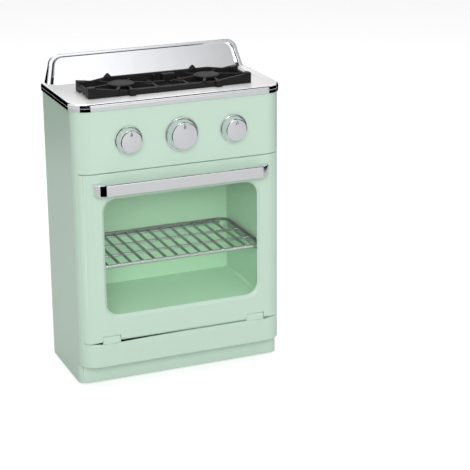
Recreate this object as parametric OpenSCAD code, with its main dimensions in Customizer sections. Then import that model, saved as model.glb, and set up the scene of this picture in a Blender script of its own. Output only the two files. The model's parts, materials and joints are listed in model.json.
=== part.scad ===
// Toy oven: a free-standing play cooker with a drop-down door, three turning
// knobs, a chrome-plated cooktop with a low backsplash and a wire shelf.
// Millimetres. +Z is up, the door faces -Y, and the origin is on the ground at
// the middle of the footprint.

/* [Body] */
// Width of the cabinet
body_w = 200; // [190:1:210]
// Depth of the cabinet from the door's face to the back
body_d = 98; // [96:1:110]
// Height of the cabinet's walls, under the cooktop's deck
body_top = 268; // [266:1:272]
// Wall thickness of the mouldings
wall = 2.5; // [2:0.1:3]
// Radius of the two front corners
corner_r = 16; // [14:0.5:17]
// Height of the recessed plinth
plinth_h = 19.5; // [16:0.5:24]
// How far the plinth stands back under the front band
plinth_in = 12; // [8:1:16]
// Radius of the plinth's front corners
plinth_r = 8; // [5:0.5:10]
// Top of the fixed band under the door
band_top = 42.6; // [40:0.1:43]
// Underside of the control panel
panel_z = 205.8; // [205:0.1:208]

/* [Door] */
// Thickness of the closed door
door_t = 6.5; // [6:0.1:7]
// Gap round the closed door
door_gap = 0.6; // [0.4:0.1:0.8]
// Width of the window
window_w = 149.4; // [140:0.2:150]
// Bottom of the window
window_z0 = 69; // [66:0.5:74]
// Top of the window
window_z1 = 180; // [170:0.5:181]
// Corner radius of the window
window_r = 12; // [8:0.5:14]
// Width of the bevel round the window
bevel_w = 3; // [2:0.2:4]
// Thickness of the clear pane
pane_t = 1.4; // [1:0.1:1.6]

/* [Handle] */
// Width of the door handle
handle_w = 170; // [160:1:171]
// Height of the handle's bar
handle_h = 11.5; // [10:0.5:13]
// How far the handle stands out of the door
handle_out = 10.5; // [9:0.5:12]
// Height of the handle's middle above the ground
handle_z = 191.7; // [190:0.1:194]
// Thickness of the handle's bar
handle_t = 3; // [2.5:0.1:3.5]

/* [Hinge] */
// Distance of each hinge tab from the middle
tab_x = 71.8; // [68:0.2:74]
// Width of a hinge tab
tab_w = 17; // [14:0.5:19]
// Radius of the hinge pins
pin_r = 1.2; // [1:0.1:1.3]

/* [Cavity and shelf] */
// Inside width of the oven cavity
cav_w = 162; // [158:1:164]
// Floor of the cavity
cav_z0 = 65.6; // [64:0.2:67]
// Ceiling of the cavity
cav_z1 = 192; // [188:1:193]
// Wall thickness of the cavity liner
liner_t = 1.5; // [1.2:0.1:1.6]
// Height of the shelf's wires
rack_z = 114.8; // [110:0.2:120]
// Number of wires that run front to back
rack_wires = 13; // [9:2:15]
// Distance between those wires
rack_pitch = 11.4; // [10:0.1:11.6]
// Middle of those wires, to the right of the cabinet's middle
rack_x = -3.2; // [-4:0.2:4]
// Wires that run side to side
rack_cross = 4; // [3:1:6]

/* [Knobs] */
// Height of the knobs' axes
knob_z = 234.5; // [232:0.5:238]
// Distance of the outer knobs from the middle
knob_x = 50.6; // [46:0.2:56]
// Radius of the outer knobs
knob_r = 13; // [12:0.2:15]
// Radius of the middle knob
big_knob_r = 15.9; // [14:0.1:18]
// How far the knobs stand out of the panel
knob_h = 10; // [8:0.5:10.5]
// Radius of the knob shafts
shaft_r = 4; // [3.5:0.1:4.5]

/* [Cooktop] */
// Height of the cooktop's rim
top_z = 270.2; // [270:0.1:271]
// How far the cooktop's skirt stands proud of the cabinet
skirt_out = 1.3; // [1:0.1:1.6]
// Bottom edge of the skirt
skirt_z = 263.4; // [262:0.2:265]
// Top of the backsplash
splash_top = 296; // [292:0.5:300]
// Thickness of the backsplash at its foot
splash_t = 9.5; // [9:0.1:10]
// How far the backsplash leans back, in degrees
splash_lean = 17; // [10:1:18]

/* [Burner grate] */
// Width of the grate
grate_w = 157.2; // [154:0.2:160]
// Middle of the grate, to the right of the cabinet's middle
grate_x = -1.8; // [-2:0.1:2]
// Front of the grate behind the door's face
grate_y0 = 18; // [16:0.5:20]
// Depth of the grate
grate_d = 39; // [36:0.5:44]
// Distance of each burner from the middle
burner_x = 41.5; // [40:0.1:43]
// Radius of a burner cap
cap_r = 12.3; // [10:0.1:13]
// Width of the grate's square corner posts
post_w = 7.2; // [6:0.2:8]

/* [Hidden] */
$fn = 64;
eps = 0.01;

// Finishes
mint = [0.74, 0.86, 0.78];
mint_in = [0.60, 0.78, 0.66];
chrome = [0.80, 0.80, 0.82];
steel = [0.62, 0.62, 0.64];
black = [0.07, 0.07, 0.07];
nylon = [0.90, 0.90, 0.86];
rubber = [0.25, 0.25, 0.26];
clear = [0.80, 0.92, 0.86, 0.35];

// Places. y is measured from the door's face and is moved to the origin last.
front_y = -(body_d - handle_out) / 2;
foot_gap = 1;
bulk_y = door_t + 0.7;
bulk_t = 2.2;
bulk_back = bulk_y + bulk_t;
hinge_y = door_t / 2;
hinge_z = band_top + 0.5 + door_t / 2;
door_z1 = panel_z - door_gap;
tab_r = door_t / 2 - 0.2;
notch_gap = 0.3;
skin = 2.6;
pane_y = skin + 0.1;
inner_t = 1.4;
pocket_x = 88;
pocket_z0 = 52;
pocket_z1 = 201;
knob_side = [-knob_x, 0, knob_x];

// Fasteners
screw_r = 1.1;
head_r = 2.6;
head_h = 1.6;
boss_r = 3.4;
screw_fit = 0.3;
cover_t = 2.4;
cover_y = body_d - cover_t - 0.3;
cover_x = body_w / 2 - 8.5;
cover_zs = [30, 128, 250];
base_z = 1.8;
base_t = 2;
base_x = body_w / 2 - 12;
base_ys = [30, 84];
lug_z = 257;
lug_t = 2.5;
lug_x = body_w / 2 - 10;
lug_ys = [24, 82];
ear_y = 15;
ear_t = 1.6;
ear_x = cav_w / 2 + liner_t + 6.5;
ear_zs = [72, 184];
grate_wall = 3.5;
bar_xs = [-12, 17.4];
toe = 4;
toe_dx = 3.8;
tooth_dx = 7;
slant_dx = 9.8;
grate_screw_x = 15;
grate_screw_y = grate_y0 + grate_d / 2;
deck_z = top_z - 1.2;
tray_y = 10;
splash_y = body_d - splash_t;
splash_tan = tan(splash_lean);
shoulder_z = body_top + 17.5;
door_screw_x = 84;
door_screw_zs = [60, 126, 197];
handle_screw_x = handle_w / 2 - 4.8;
sleeve_r = 6.5;
wheel_r = 7.5;
wheel_y = 6.2;
wheel_t = 3;
post_dz = 17;
post_top = 6.6;
catch_z = 199;
peg_x = 14;
inner_win_w = window_w + 3;

// Moves a module from the door's face to the part's own origin
module placed() {
    translate([0, front_y, 0]) children();
}

// Extrudes an outline drawn in X and Z from y0 back to y1
module slab(y0, y1) {
    translate([0, y1, 0]) rotate([90, 0, 0]) linear_extrude(y1 - y0) children();
}

// Extrudes an outline drawn in Y and Z along X, over a width about the middle
module across(w) {
    translate([-w / 2, 0, 0]) rotate([90, 0, 90]) linear_extrude(w) children();
}

// Plan outline with two round front corners, drawn in X and Y
module plan(w, y0, y1, r) {
    translate([-w / 2, y0 + r]) square([w, y1 - y0 - r]);
    translate([-w / 2 + r, y0]) square([w - 2 * r, r + 1]);
    for (s = [-1, 1]) translate([s * (w / 2 - r), y0 + r]) circle(r);
}

// Rectangle with round corners from z0 to z1, drawn in X and Z
module frame_2d(w, z0, z1, r) {
    translate([-w / 2 + r, z0]) square([w - 2 * r, z1 - z0]);
    translate([-w / 2, z0 + r]) square([w, z1 - z0 - 2 * r]);
    for (s = [-1, 1]) {
        translate([s * (w / 2 - r), z0 + r]) circle(r);
        translate([s * (w / 2 - r), z1 - r]) circle(r);
    }
}

// Round bar along X, Y or Z, from its start
module bar_x(r, len) { rotate([0, 90, 0]) cylinder(r = r, h = len); }
module bar_y(r, len) { rotate([-90, 0, 0]) cylinder(r = r, h = len); }

// Pan-head screw whose head sits on z = 0 and whose thread points down
module screw(len) {
    difference() {
        union() {
            translate([0, 0, -len]) cylinder(r = screw_r, h = len + 0.1, $fn = 24);
            cylinder(r = head_r, h = head_h, $fn = 32);
        }
        for (a = [0, 90]) rotate(a) translate([-1.7, -0.3, 0.7]) cube([3.4, 0.6, 2]);
    }
}

// ---------------------------------------------------------------- cabinet

// Inside space of the shell between two heights, open at the back
module hollow(z0, z1, y0, r) {
    translate([0, 0, z0]) linear_extrude(z1 - z0) plan(body_w - 2 * wall, y0, body_d + 1, r);
}

// Boss along Y with a rib that ties it to the side wall
module cover_boss(s, z) {
    y0 = 78;
    len = cover_y - y0;
    rib = body_w / 2 - cover_x - 1;
    translate([s * cover_x, y0, z]) bar_y(boss_r, len);
    translate([s > 0 ? cover_x : -cover_x - rib, y0, z - 1.2]) cube([rib, len, 2.4]);
}

// Boss along Z with a rib that ties it to the side wall
module base_boss(s, y) {
    h = 13;
    rib = body_w / 2 - base_x - 1;
    translate([s * base_x, y, base_z + base_t]) cylinder(r = boss_r, h = h);
    translate([s > 0 ? base_x : -base_x - rib, y - 1.2, base_z + base_t]) cube([rib, 2.4, h]);
}

// Upright outer form of the cabinet between two heights
module block(z0, z1, y0, r) {
    translate([0, 0, z0]) linear_extrude(z1 - z0) plan(body_w, y0, body_d, r);
}

module hinge_tab() {
    translate([-tab_w / 2, hinge_y, hinge_z]) bar_x(tab_r, tab_w);
    translate([-tab_w / 2, hinge_y - tab_r, band_top - 1]) cube([tab_w, 2 * tab_r, hinge_z - band_top + 1]);
}

module cabinet_shell() {
    liner_w = cav_w + 2 * liner_t + 0.6;
    placed() color(mint) difference() {
        union() {
            difference() {
                union() {
                    block(plinth_h, body_top, 0, corner_r);
                    block(foot_gap, plinth_h + 1, plinth_in, plinth_r);
                }
                hollow(-1, plinth_h + wall + 0.1, plinth_in + wall, plinth_r - wall);
                hollow(plinth_h + wall, band_top - wall, wall, corner_r - wall);
                hollow(band_top - wall - 0.1, panel_z + wall + 0.1, bulk_back, 6);
                hollow(panel_z + wall, body_top + 1, wall, corner_r - wall);
                // space of the door
                translate([-body_w / 2 - 1, -1, band_top])
                    cube([body_w + 2, bulk_y + 1, panel_z - band_top]);
                // mouth of the cavity, and the slot of the catch
                slab(bulk_y - 1, bulk_back + 1)
                    frame_2d(liner_w, cav_z0 - liner_t - 0.3, cav_z1 + liner_t + 0.3, 5);
                slab(bulk_y - 1, bulk_back + 1) translate([-8.5, catch_z - 2.2]) square([17, 4.4]);
            }
            for (s = [-1, 1]) {
                translate([s * tab_x, 0, 0]) hinge_tab();
                for (z = cover_zs) cover_boss(s, z);
                for (y = base_ys) base_boss(s, y);
                for (y = lug_ys)
                    translate([s > 0 ? lug_x - 7 : -lug_x - 9, y - 6, lug_z]) cube([16, 12, lug_t]);
                for (z = ear_zs) translate([s * ear_x, bulk_back - eps, z]) bar_y(3, ear_y - bulk_back);
                translate([s * peg_x, bulk_back - eps, catch_z]) bar_y(1.5, 3);
            }
            // bearing sleeves of the knobs, and posts of the click springs
            for (x = knob_side) {
                translate([x, wall - eps, knob_z]) bar_y(sleeve_r, wheel_y - 0.3 - wall);
                translate([x, wall - eps, knob_z - post_dz]) bar_y(2.6, post_top - wall + eps);
            }
        }
        // bores
        for (s = [-1, 1]) {
            translate([s * tab_x - tab_w / 2 - 1, hinge_y, hinge_z]) bar_x(pin_r + 0.05, tab_w + 2);
            for (z = cover_zs) translate([s * cover_x, cover_y - 12, z]) bar_y(screw_r, 13);
            for (y = base_ys) translate([s * base_x, y, base_z]) cylinder(r = screw_r, h = 12);
            for (y = lug_ys)
                translate([s * lug_x, y, lug_z - 1]) cylinder(r = screw_r + screw_fit, h = lug_t + 2);
            for (z = ear_zs) translate([s * ear_x, bulk_back + 0.6, z]) bar_y(screw_r, ear_y - bulk_back);
        }
        for (x = knob_side) {
            translate([x, -1, knob_z]) bar_y(shaft_r + 0.08, wheel_y + 1);
            translate([x, wall + 0.4, knob_z - post_dz]) bar_y(screw_r, post_top);
        }
    }
}

module base_plate() {
    placed() color(mint) difference() {
        translate([0, 0, base_z]) linear_extrude(base_t)
            plan(body_w - 2 * wall - 0.6, plinth_in + wall + 0.3, cover_y - 0.4, plinth_r - wall);
        for (s = [-1, 1], y = base_ys) {
            translate([s * base_x, y, base_z - 1]) cylinder(r = screw_r + screw_fit, h = base_t + 2);
            translate([s * base_x, y, base_z - 1]) cylinder(r = head_r + screw_fit, h = 1 + 0.9);
        }
    }
}

module foot_pads() {
    placed() color(rubber) for (s = [-1, 1], y = [24, body_d - 22])
        translate([s * (body_w / 2 - 26), y, 0]) cylinder(r = 6, h = base_z);
}

module base_screws() {
    placed() color(steel) for (s = [-1, 1], y = base_ys)
        translate([s * base_x, y, base_z + 0.9]) rotate([180, 0, 0]) screw(9);
}

// Row of ventilation slots, drawn in X and Z
module vents(z, count) {
    for (i = [0:count - 1]) translate([(i - (count - 1) / 2) * 12, z])
        frame_2d(4, -9, 9, 1.9);
}

module back_cover() {
    placed() color(mint) difference() {
        slab(cover_y, cover_y + cover_t) difference() {
            frame_2d(body_w - 2 * wall - 0.6, base_z + base_t + 0.5, body_top - 0.4, 1.5);
            vents(226, 9);
            vents(40, 9);
        }
        for (s = [-1, 1], z = cover_zs) translate([s * cover_x, cover_y, z]) {
            translate([0, -1, 0]) bar_y(screw_r + screw_fit, cover_t + 2);
            translate([0, cover_t - head_h, 0]) bar_y(head_r + screw_fit, 3);
        }
    }
}

// Their heads are let into the cover, so that the oven can stand against a wall
module back_cover_screws() {
    placed() color(steel) for (s = [-1, 1], z = cover_zs)
        translate([s * cover_x, cover_y + cover_t - head_h, z]) rotate([-90, 0, 0]) screw(10);
}

// ------------------------------------------------------------ oven cavity

module oven_liner() {
    y0 = bulk_y + 0.2;
    y1 = cover_y - 0.3;
    rail = rack_z - 4.3;
    ear_w = ear_x + 4 - cav_w / 2;
    placed() color(mint_in) difference() {
        union() {
            slab(y0, y1) frame_2d(cav_w + 2 * liner_t, cav_z0 - liner_t, cav_z1 + liner_t, 4);
            for (s = [-1, 1], z = ear_zs)
                translate([s > 0 ? cav_w / 2 : -ear_x - 4, ear_y, z - 5]) cube([ear_w, ear_t, 10]);
        }
        difference() {
            slab(y0 - 1, y1 - liner_t) frame_2d(cav_w, cav_z0, cav_z1, 3);
            for (s = [-1, 1]) translate([s * (cav_w / 2 - 1.5) - 2.5, y0 + 1, rail - 2]) cube([5, y1, 2]);
        }
        for (s = [-1, 1], z = ear_zs) translate([s * ear_x, ear_y - 1, z]) bar_y(screw_r + screw_fit, 4);
    }
}

module liner_screws() {
    placed() color(steel) for (s = [-1, 1], z = ear_zs)
        translate([s * ear_x, ear_y + ear_t, z]) rotate([-90, 0, 0]) screw(5);
}

// Spring clip behind the slot, which holds the tongue of the closed door
module door_catch() {
    y0 = bulk_back + 0.05;
    placed() color(nylon) difference() {
        union() {
            for (s = [-1, 1]) {
                translate([-8, y0, catch_z + s * 2.2 - 0.6]) cube([16, 9, 1.2]);
                translate([s * peg_x - 3.5, y0, catch_z - 3.2]) cube([7, 1.5, 6.4]);
            }
            translate([-8, y0 + 8, catch_z - 2.8]) cube([16, 1.4, 5.6]);
            for (s = [-1, 1]) translate([s * 9.9 - 2, y0, catch_z - 2.8]) cube([4, 1.5, 5.6]);
        }
        for (s = [-1, 1]) translate([s * peg_x, y0 - 1, catch_z]) bar_y(1.5, 4);
    }
}

// ---------------------------------------------------------------- cooktop

// Sweeps a profile round the front and the two sides. In the profile, x is the
// distance out from the cabinet's wall and y is the height.
module edge_sweep() {
    span = body_w / 2 - corner_r;
    translate([-span, 0, 0]) rotate([90, 0, 90]) linear_extrude(2 * span) mirror([1, 0]) children();
    for (s = [-1, 1]) {
        translate([s * body_w / 2, body_d, 0]) rotate([90, 0, 0]) linear_extrude(body_d - corner_r)
            mirror([s > 0 ? 0 : 1, 0]) children();
        translate([s * span, corner_r, 0]) rotate([0, 0, s > 0 ? -90 : 180])
            rotate_extrude(angle = 90) translate([corner_r, 0]) children();
    }
}

// Section of the rim: a flat skirt, a small bead and a round top edge
module rim_2d() {
    gap = 0.15;
    bead = 1;
    bead_z = top_z - 3.3;
    round = 2;
    translate([gap, skirt_z]) square([skirt_out - gap, top_z - round - skirt_z]);
    intersection() {
        translate([skirt_out - 0.8, bead_z]) circle(bead, $fn = 32);
        translate([gap, bead_z - bead]) square(2 * bead);
    }
    intersection() {
        translate([skirt_out - round, top_z - round]) circle(round);
        translate([-1, top_z - round]) square([3, 3]);
    }
    translate([-4, body_top]) square([4 + skirt_out - round, top_z - body_top]);
    translate([-4, body_top]) square([4 + skirt_out, 0.2]);
}

// Front view of the backsplash from height z0 up, set in at the sides and the top
module splash_2d(side, top, z0) {
    foot = body_w / 2 - 1.5 - side;
    taper = 0.25;
    shoulder = foot - taper * (shoulder_z - z0);
    z1 = splash_top - top;
    r = z1 - shoulder_z;
    polygon([[-foot, z0], [foot, z0], [shoulder, shoulder_z], [-shoulder, shoulder_z]]);
    translate([-shoulder + r, shoulder_z - 1]) square([2 * (shoulder - r), r + 1]);
    for (s = [-1, 1]) translate([s * (shoulder - r), shoulder_z]) circle(r);
}

// Side view, in Y and Z, of all that lies at least d behind the leaning face
module behind_face_2d(d, z0, z1) {
    y0 = splash_y + d + splash_tan * (z0 - deck_z);
    polygon([[y0, z0], [body_d + 9, z0], [body_d + 9, z1], [y0 + splash_tan * (z1 - z0), z1]]);
}

// Sunk field of the backsplash with its sloping border
module splash_field() {
    rim = 3.4;
    border = 3.2;
    depth = 1.4;
    translate([0, splash_y, deck_z]) rotate([-splash_lean, 0, 0]) translate([0, 0, -deck_z]) hull() {
        slab(-1, 0.05) splash_2d(rim, 1.2, deck_z - 0.4);
        slab(-1, depth) splash_2d(rim + border, 2.8, deck_z - 0.4);
    }
}

// The tray slopes down from its front edge to the foot of the backsplash. This is
// the space above its surface, or below it, drawn in Y and Z.
module over_tray_2d() {
    y1 = splash_y + 0.8;
    polygon([[tray_y, top_z], [y1, deck_z], [y1, top_z + 1], [tray_y, top_z + 1]]);
}
module under_tray_2d() {
    y1 = splash_y + 0.8;
    polygon([[0, top_z], [tray_y, top_z], [y1, deck_z], [y1, deck_z - 5], [0, deck_z - 5]]);
}

module cooktop() {
    side_rim = 8.5;
    placed() color(chrome) difference() {
        union() {
            edge_sweep() rim_2d();
            translate([0, 0, body_top]) linear_extrude(top_z - body_top)
                plan(body_w - 7, 3.5, body_d, corner_r - 3.5);
            intersection() {
                slab(splash_y - 1, body_d) splash_2d(0, 0, body_top);
                across(body_w) behind_face_2d(0, body_top, splash_top + 1);
            }
            for (s = [-1, 1], y = lug_ys) translate([s * lug_x, y, lug_z + lug_t + 0.05])
                cylinder(r = boss_r, h = body_top - lug_z - lug_t);
            for (s = [-1, 1])
                translate([grate_x + s * grate_screw_x, grate_screw_y, body_top - 2])
                    cylinder(r = 4, h = 2.1);
        }
        // tray between the raised side borders, which fade out towards the front
        across(body_w - 2 * side_rim) over_tray_2d();
        splash_field();
        // hollow back of the backsplash
        intersection() {
            slab(splash_y, body_d + 1) splash_2d(2.2, 2.2, top_z);
            across(body_w) behind_face_2d(3.4, top_z, splash_top);
        }
        for (s = [-1, 1]) {
            for (y = lug_ys)
                translate([s * lug_x, y, lug_z]) cylinder(r = screw_r, h = body_top - lug_z - 0.5);
            translate([grate_x + s * grate_screw_x, grate_screw_y, body_top - 3])
                cylinder(r = screw_r + screw_fit, h = 6);
        }
    }
}

module cooktop_screws() {
    placed() color(steel) for (s = [-1, 1], y = lug_ys)
        translate([s * lug_x, y, lug_z]) rotate([180, 0, 0]) screw(10);
}

// ----------------------------------------------------------- burner grate

// Upright fin from (0, 0) along +X whose top runs through the given points
module fin(t, points) {
    translate([0, t / 2, 0]) rotate([90, 0, 0]) linear_extrude(t) polygon(points);
}

// Low round cap with a slightly domed top, about Z
module cap(r, h, rise) {
    dome_r = (r * r + rise * rise) / (2 * rise);
    rotate_extrude() intersection() {
        translate([0, h - dome_r]) circle(dome_r, $fn = 128);
        square([r, h]);
    }
}

// Pointed tooth on top of the back wall, drawn about its own middle
module tooth() {
    w = 3.6;
    tip = 0.7;
    t = grate_wall;
    base_z = deck_z + 9;
    wall_z = deck_z + 11.2;
    tip_z = deck_z + 14.8;
    intersection() {
        slab(-t, 0)
            polygon([[-w, base_z], [w, base_z], [w, wall_z], [tip, tip_z], [-tip, tip_z], [-w, wall_z]]);
        across(2 * w + 1) polygon([
            [-t, base_z], [0, base_z], [0, wall_z], [-1.2, tip_z], [-2.2, tip_z], [-t, wall_z]
        ]);
    }
}

// One burner: a cap on its stem, with a fan of fingers round it
module burner() {
    fin_t = 2.4;
    z0 = deck_z + 1.2;
    cap_z = deck_z + 8.8;
    bar_z = deck_z + 6.4;
    wall_z = deck_z + 8.6;
    inner = 6;
    half = grate_d / 2;
    reach = grate_w / 2 - burner_x;
    translate([0, 0, deck_z + 0.3]) cylinder(r = cap_r + 2, h = 1.6);
    translate([0, 0, deck_z + 1]) cylinder(r = cap_r - 4, h = 7);
    translate([0, 0, deck_z + 7.4]) cap(cap_r, 2.6, 1);
    // front finger, with a toe in front of the frame
    translate([toe_dx, 0, 0]) rotate(-90) {
        fin(fin_t, [[2, z0], [half, z0], [half, deck_z + 7.2], [2, cap_z]]);
        fin(6, [
            [half - 1, deck_z - 1], [half + toe, deck_z - 1], [half + toe, deck_z + 6],
            [half + toe - 1, deck_z + 7.2], [half - 1, deck_z + 7.2]
        ]);
    }
    // slanting front finger, whose end shows as a rib on the front wall
    slant = atan2(half, slant_dx);
    slant_len = norm([half, slant_dx]) + 0.4;
    rotate(180 + slant) fin(3, [
        [inner, z0], [slant_len, z0 - 0.6], [slant_len, deck_z + 7.8], [inner, cap_z]
    ]);
    // side fingers, one to the outer wall and one to the bar between the rings
    fin(fin_t, [[inner, z0], [reach, z0], [reach, bar_z], [inner, cap_z + 0.6]]);
    rotate(180) fin(fin_t, [[inner, z0], [reach - 1, z0], [reach - 1, bar_z], [inner, cap_z + 0.6]]);
    // back fingers
    for (a = [48, 132]) {
        len = (half - 1) / sin(a);
        rotate(a) fin(fin_t, [[inner, z0], [len, z0], [len, wall_z], [inner, cap_z]]);
    }
}

// Back wall seen from the front: it dips beside each post and rises again to the corner
module back_wall_2d(half) {
    dip = half - 14;
    full = half - 28.6;
    polygon([
        [-half, deck_z - 1], [half, deck_z - 1], [half, deck_z + 10.9], [dip, deck_z + 9],
        [full, deck_z + 11.3], [-full, deck_z + 11.3], [-dip, deck_z + 9], [-half, deck_z + 10.9]
    ]);
}

// Front wall seen from the front: high at the posts, low at the toes
module front_wall_2d(half) {
    low = burner_x;
    z0 = deck_z + 0.3;
    polygon([
        [-half, z0], [half, z0], [half, deck_z + 10.2], [half - post_w, deck_z + 9.8], [low, deck_z + 5.8],
        [-low, deck_z + 5.8], [-half + post_w, deck_z + 9.8], [-half, deck_z + 10.2]
    ]);
}

module burner_grate() {
    half = grate_w / 2;
    y0 = grate_y0;
    y1 = grate_y0 + grate_d;
    z0 = deck_z + 1.2;
    side_z = deck_z + 8;
    post_z = deck_z + 11;
    bar_z = deck_z + 6.2;
    arch_r = 24;
    arch_z = deck_z + 4.3;
    placed() translate([grate_x, 0, 0]) color(black) difference() {
        union() {
            difference() {
                union() {
                    slab(y0, y0 + grate_wall) front_wall_2d(half);
                    intersection() {
                        slab(y1 - grate_wall, y1) back_wall_2d(half);
                        translate([-half, y0, z0]) cube([grate_w, grate_d, 20]);
                    }
                    for (s = [-1, 1]) translate([s > 0 ? half - grate_wall : -half, y0, z0])
                        cube([grate_wall, grate_d, side_z - z0]);
                }
                // arch under each side wall
                across(grate_w + 2) translate([(y0 + y1) / 2, arch_z - arch_r]) circle(arch_r);
            }
            for (s = [-1, 1]) {
                translate([s > 0 ? half - post_w : -half, y0, deck_z - 1])
                    cube([post_w, post_w, post_z - deck_z + 1]);
                intersection() {
                    slab(y1 - post_w, y1) back_wall_2d(half);
                    translate([s > 0 ? half - post_w : -half, y0, deck_z - 1]) cube([post_w, grate_d, 20]);
                }
                translate([s * burner_x, (y0 + y1) / 2, 0]) burner();
                translate([s * burner_x - tooth_dx, y1, 0]) tooth();
                translate([s * grate_screw_x, grate_screw_y, deck_z - 1]) cylinder(r = 4, h = 7);
            }
            // bars that close the two rings, and the low plate between them
            for (x = bar_xs) translate([x - 1.4, y0 + 1, z0]) cube([2.8, grate_d - 2, bar_z - z0]);
            translate([bar_xs[0], y0 + 1, z0]) cube([bar_xs[1] - bar_xs[0], grate_d - 2, 1.8]);
            // sloping front bar from toe to toe
            translate([toe_dx, 0, 0]) across(2 * burner_x) polygon([
                [y0 - 0.6, deck_z + 0.3], [y0 + 6, deck_z + 0.3], [y0 + 6, deck_z + 5.8],
                [y0 + 4.4, deck_z + 5.8], [y0 - 0.6, deck_z + 3.8]
            ]);
            // middle finger, and the block and the rib against the back wall
            translate([bar_xs[0], (y0 + y1) / 2 - 1.2, z0]) cube([13, 2.4, deck_z + 7 - z0]);
            translate([2.3, y1 - 10, z0]) cube([12.5, 9, deck_z + 10.4 - z0]);
            translate([-5.7, y1 - 6, z0]) cube([2.4, 5, deck_z + 10 - z0]);
        }
        // the feet follow the tray's slope
        translate([0, 0, 0.02]) across(body_w) under_tray_2d();
        for (s = [-1, 1])
            translate([s * grate_screw_x, grate_screw_y, deck_z - 1]) cylinder(r = screw_r, h = 5.5);
    }
}

module grate_screws() {
    placed() color(steel) for (s = [-1, 1])
        translate([grate_x + s * grate_screw_x, grate_screw_y, body_top - 2]) rotate([180, 0, 0]) screw(6.5);
}

// ------------------------------------------------------------------ knobs

// Knob cap about Z with its face up: a thin flange, a tapering side and a shallow
// domed face. It is hollow, with a socket for the shaft.
module knob(r, h) {
    lip = 0.5;
    flange = 1.9;
    foot = 0.90 * r;
    face = 0.81 * r;
    dome_r = 3.2 * r;
    difference() {
        union() {
            rotate_extrude() intersection() {
                polygon([
                    [0, 0], [r - lip, 0], [r, 0.4], [r, flange - 0.5], [r - lip, flange],
                    [foot, flange], [face, h - 2.6], [face - 0.4, h - 1.8], [face - 1.2, h], [0, h]
                ]);
                translate([0, h - dome_r]) circle(dome_r, $fn = 256);
            }
            intersection() {
                translate([0, 0, h - 2.4]) pointer(0.44 * r);
                rotate_extrude() intersection() {
                    translate([0, h + 0.55 - dome_r]) circle(dome_r, $fn = 256);
                    square([r, h + 1]);
                }
            }
        }
        difference() {
            translate([0, 0, -1]) cylinder(r = face - 1.8, h = h - 1.6);
            translate([0, 0, -1]) cylinder(r = shaft_r + 1.2, h = h);
        }
        translate([0, 0, -1]) cylinder(r = shaft_r - 1, h = h - 1.4);
    }
}

// Small raised drop that marks the knob's setting, with its tip at the face's edge
module pointer(r0) {
    translate([0, r0, 0]) cylinder(r = 1.4, h = 4, $fn = 24);
    linear_extrude(4) polygon([[-1.35, r0 + 0.4], [1.35, r0 + 0.4], [0.3, r0 * 1.75], [-0.3, r0 * 1.75]]);
}

// Shaft about Z: a spigot pressed into the knob, a running part and a square end
module shaft() {
    translate([0, 0, -wheel_y - wheel_t - 0.2]) cylinder(r = shaft_r, h = wheel_y + wheel_t + 0.2);
    translate([0, 0, -0.1]) cylinder(r = shaft_r - 1, h = knob_h - 2.8);
}

module click_wheel() {
    difference() {
        translate([0, 0, -wheel_t]) linear_extrude(wheel_t) difference() {
            circle(wheel_r);
            for (a = [0:30:359]) rotate(a) translate([wheel_r + 0.4, 0]) circle(1.2, $fn = 20);
        }
        translate([0, 0, -wheel_t - 1]) cylinder(r = shaft_r, h = wheel_t + 2);
    }
}

// Puts a knob part, drawn about Z, at one of the three axes. It turns about -Y.
module at_knob(i, y) {
    placed() translate([knob_side[i], y, knob_z]) rotate([90, 0, 0]) children();
}

module knob_node(i) {
    at_knob(i, -0.35) color(chrome) knob(i == 1 ? big_knob_r : knob_r, knob_h - 0.35);
}

module shaft_node(i) {
    at_knob(i, -0.3) color(nylon) difference() {
        shaft();
        translate([0, 0, -wheel_y - wheel_t - 1]) cylinder(r = screw_r, h = 9);
    }
}

module wheel_node(i) {
    at_knob(i, wheel_y) color(nylon) click_wheel();
}

module shaft_screw_node(i) {
    at_knob(i, wheel_y + wheel_t) color(steel) rotate([180, 0, 0]) washer_screw();
}

// Screw with a wide washer head that keeps the click wheel on the shaft
module washer_screw() {
    cylinder(r = shaft_r + 1.6, h = 0.8);
    translate([0, 0, 0.7]) screw(7.5);
}

// Leaf spring under each click wheel, with a nose that rides in its notches
module click_springs() {
    placed() color(steel) for (x = knob_side) translate([x, 0, knob_z]) {
        // leaf with its nose, on two legs
        slab(wheel_y, wheel_y + wheel_t) {
            translate([-9, -wheel_r - 2.4]) square([18, 0.6]);
            translate([0, -wheel_r - 1.9]) intersection() {
                circle(1.6, $fn = 24);
                translate([-2, -0.2]) square([4, 3]);
            }
            for (s = [-1, 1]) translate([s * 9 - 0.3, -post_dz - 3]) square([0.6, post_dz - wheel_r + 1.2]);
        }
        // foot on the post
        difference() {
            translate([-9.3, post_top + 0.05, -post_dz - 3]) cube([18.6, 0.8, 6]);
            translate([0, post_top - 1, -post_dz]) bar_y(screw_r + 0.2, 4);
        }
    }
}

module spring_screws() {
    placed() color(steel) for (x = knob_side)
        translate([x, post_top + 0.85, knob_z - post_dz]) rotate([-90, 0, 0]) screw(4);
}

// ------------------------------------------------------------------- door

// Cutter with a sloping edge: it is wide at the door's face and narrows inwards
module bevel_cut(w, z0, z1, r, b) {
    slab(-1, skin + 1) frame_2d(w, z0, z1, r);
    for (s = [-1, 1]) {
        for (z = [z0 + r, z1 - r]) translate([s * (w / 2 - r), 0, z])
            rotate([-90, 0, 0]) cylinder(r1 = r + b, r2 = r, h = skin);
        translate([s * w / 2, 0, z0 + r]) linear_extrude(z1 - z0 - 2 * r)
            polygon([[-s, -eps], [s * b, -eps], [0, skin], [-s, skin]]);
    }
    for (e = [[z0, -1], [z1, 1]]) translate([-w / 2 + r, 0, e[0]]) rotate([90, 0, 90])
        linear_extrude(w - 2 * r) polygon([[-eps, -e[1]], [-eps, e[1] * b], [skin, 0], [skin, -e[1]]]);
}

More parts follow.
